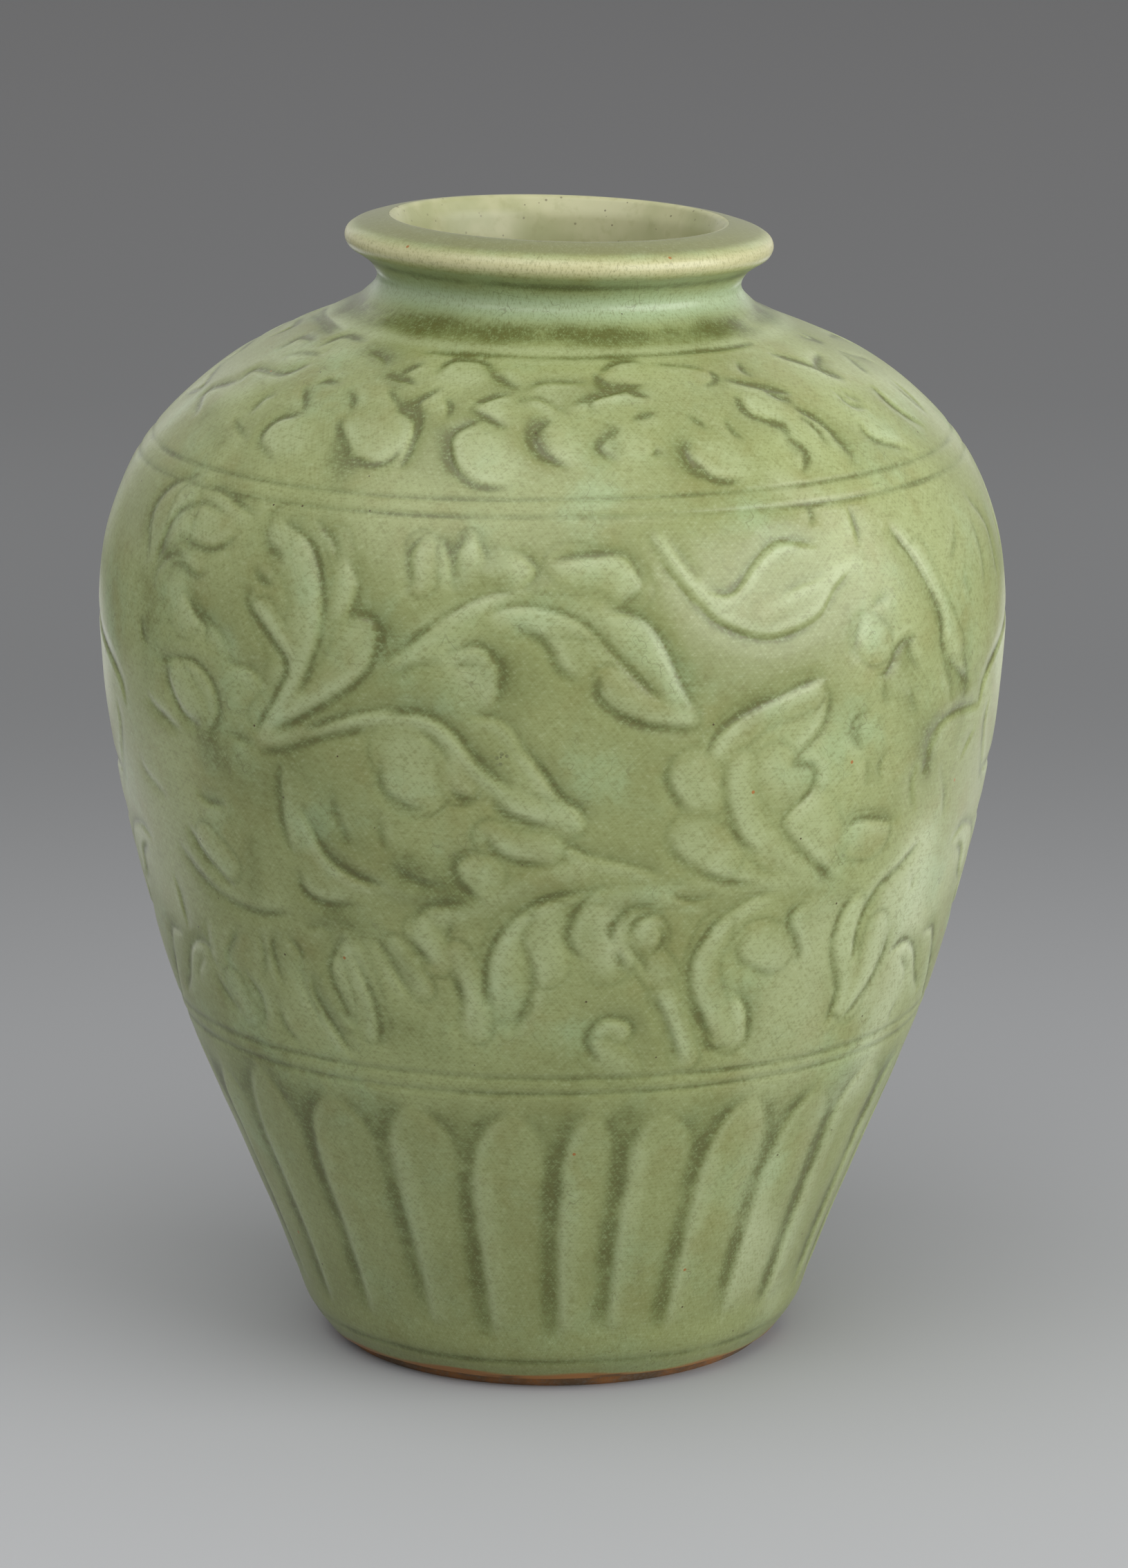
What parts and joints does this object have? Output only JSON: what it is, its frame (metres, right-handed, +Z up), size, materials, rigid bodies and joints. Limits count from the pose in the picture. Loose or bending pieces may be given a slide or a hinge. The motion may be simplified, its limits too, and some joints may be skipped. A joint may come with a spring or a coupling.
{
  "type": "meiping vase",
  "caption": "Tall high-shouldered vase with a short waisted neck, small rolled mouth, carved bands and a body tapering to a trimmed foot ring.",
  "frame": {"origin": "on the axis of the vase, level with the surface it stands on", "axes": "+Z up the axis of the vase; +X and +Y across it"},
  "size_m": [0.2452, 0.2452, 0.308],
  "materials": {
    "stoneware": "fired stoneware, orange-brown where it is bare",
    "celadon_glaze": "glossy olive-green celadon glaze, darker where it pools"
  },
  "bodies": {
    "root": {"foot_ring": "stoneware", "base_disc": "stoneware", "lower_wall": "stoneware", "belly_wall": "stoneware", "shoulder_dome": "stoneware", "neck_collar": "stoneware", "rolled_lip": "stoneware", "outer_glaze": "celadon_glaze", "inner_glaze": "celadon_glaze", "base_glaze": "celadon_glaze"}
  },
  "joints": []
}
